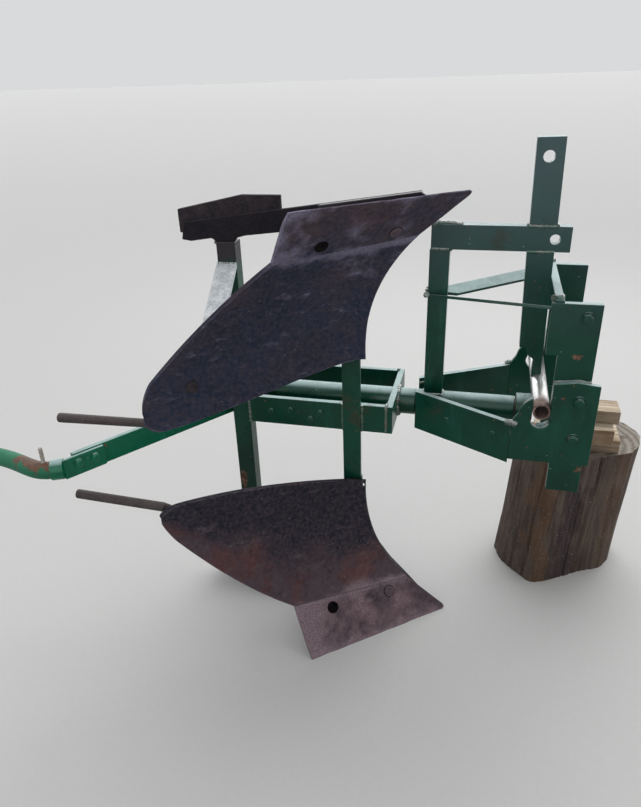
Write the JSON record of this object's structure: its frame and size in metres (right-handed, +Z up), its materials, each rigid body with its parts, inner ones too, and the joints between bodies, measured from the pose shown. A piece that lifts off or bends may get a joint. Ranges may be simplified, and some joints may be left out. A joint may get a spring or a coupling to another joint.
{
  "type": "turnover moldboard plough",
  "caption": "Small mounted turnover plough: hitch headstock, turning frame with mirrored share and moldboard bodies, and a hand lever, parked on a wooden stump.",
  "frame": {"origin": "on the ground, under the middle of the whole plough's box", "axes": "+X the way the plough travels, +Y to its left, +Z up"},
  "size_m": [1.3662, 0.7375, 1.0684],
  "materials": {
    "green_paint": "brushed-on gloss",
    "bright_green_paint": "brushed-on gloss",
    "bare_steel": "worn, spotted with rust",
    "share_steel": "scoured and dull",
    "moldboard_steel": "dark scale with red rust",
    "rusty_steel": "rusty",
    "stump_wood": "weathered and cracked",
    "block_wood": "sawn softwood"
  },
  "bodies": {
    "headstock": {"hitch_tube": "bare_steel", "near_post": "green_paint", "far_post": "green_paint", "near_ear": "green_paint", "far_ear": "green_paint", "near_foot": "green_paint", "far_foot": "green_paint", "mast": "green_paint", "mast_foot": "green_paint", "top_bar": "green_paint", "rear_post": "green_paint", "near_stay_bar": "green_paint", "far_stay_bar": "green_paint", "cross_strap": "bare_steel", "near_arm": "green_paint", "far_arm": "green_paint", "bearing_sleeve": "green_paint", "stump": "stump_wood", "low_block": "block_wood", "middle_block": "block_wood", "top_block": "block_wood"},
    "turning_frame": {"far_bar": "green_paint", "front_cross": "green_paint", "front_leg": "green_paint", "hub_tube": "green_paint", "lever_bar": "bright_green_paint", "lever_peg": "bare_steel", "lever_pipe": "rusty_steel", "lever_socket": "bright_green_paint", "lever_splice": "bright_green_paint", "lower_frog": "green_paint", "lower_landside": "rusty_steel", "lower_moldboard": "moldboard_steel", "lower_share": "share_steel", "lower_stay": "bare_steel", "lower_tail_rod": "rusty_steel", "lower_wear_strip": "rusty_steel", "near_bar": "green_paint", "rear_cross": "green_paint", "rear_leg": "green_paint", "shaft_collar": "green_paint", "turnover_shaft": "bare_steel", "upper_frog": "green_paint", "upper_landside": "rusty_steel", "upper_moldboard": "moldboard_steel", "upper_share": "share_steel", "upper_stay": "bare_steel", "upper_tail_rod": "rusty_steel", "upper_wear_strip": "rusty_steel"}
  },
  "joints": [
    {"name": "turnover", "type": "hinge", "parent": "headstock", "child": "turning_frame", "pos_m": [0, 0.08, 0.496], "axis": [1, 0, 0], "range_deg": [-180, 0]}
  ]
}
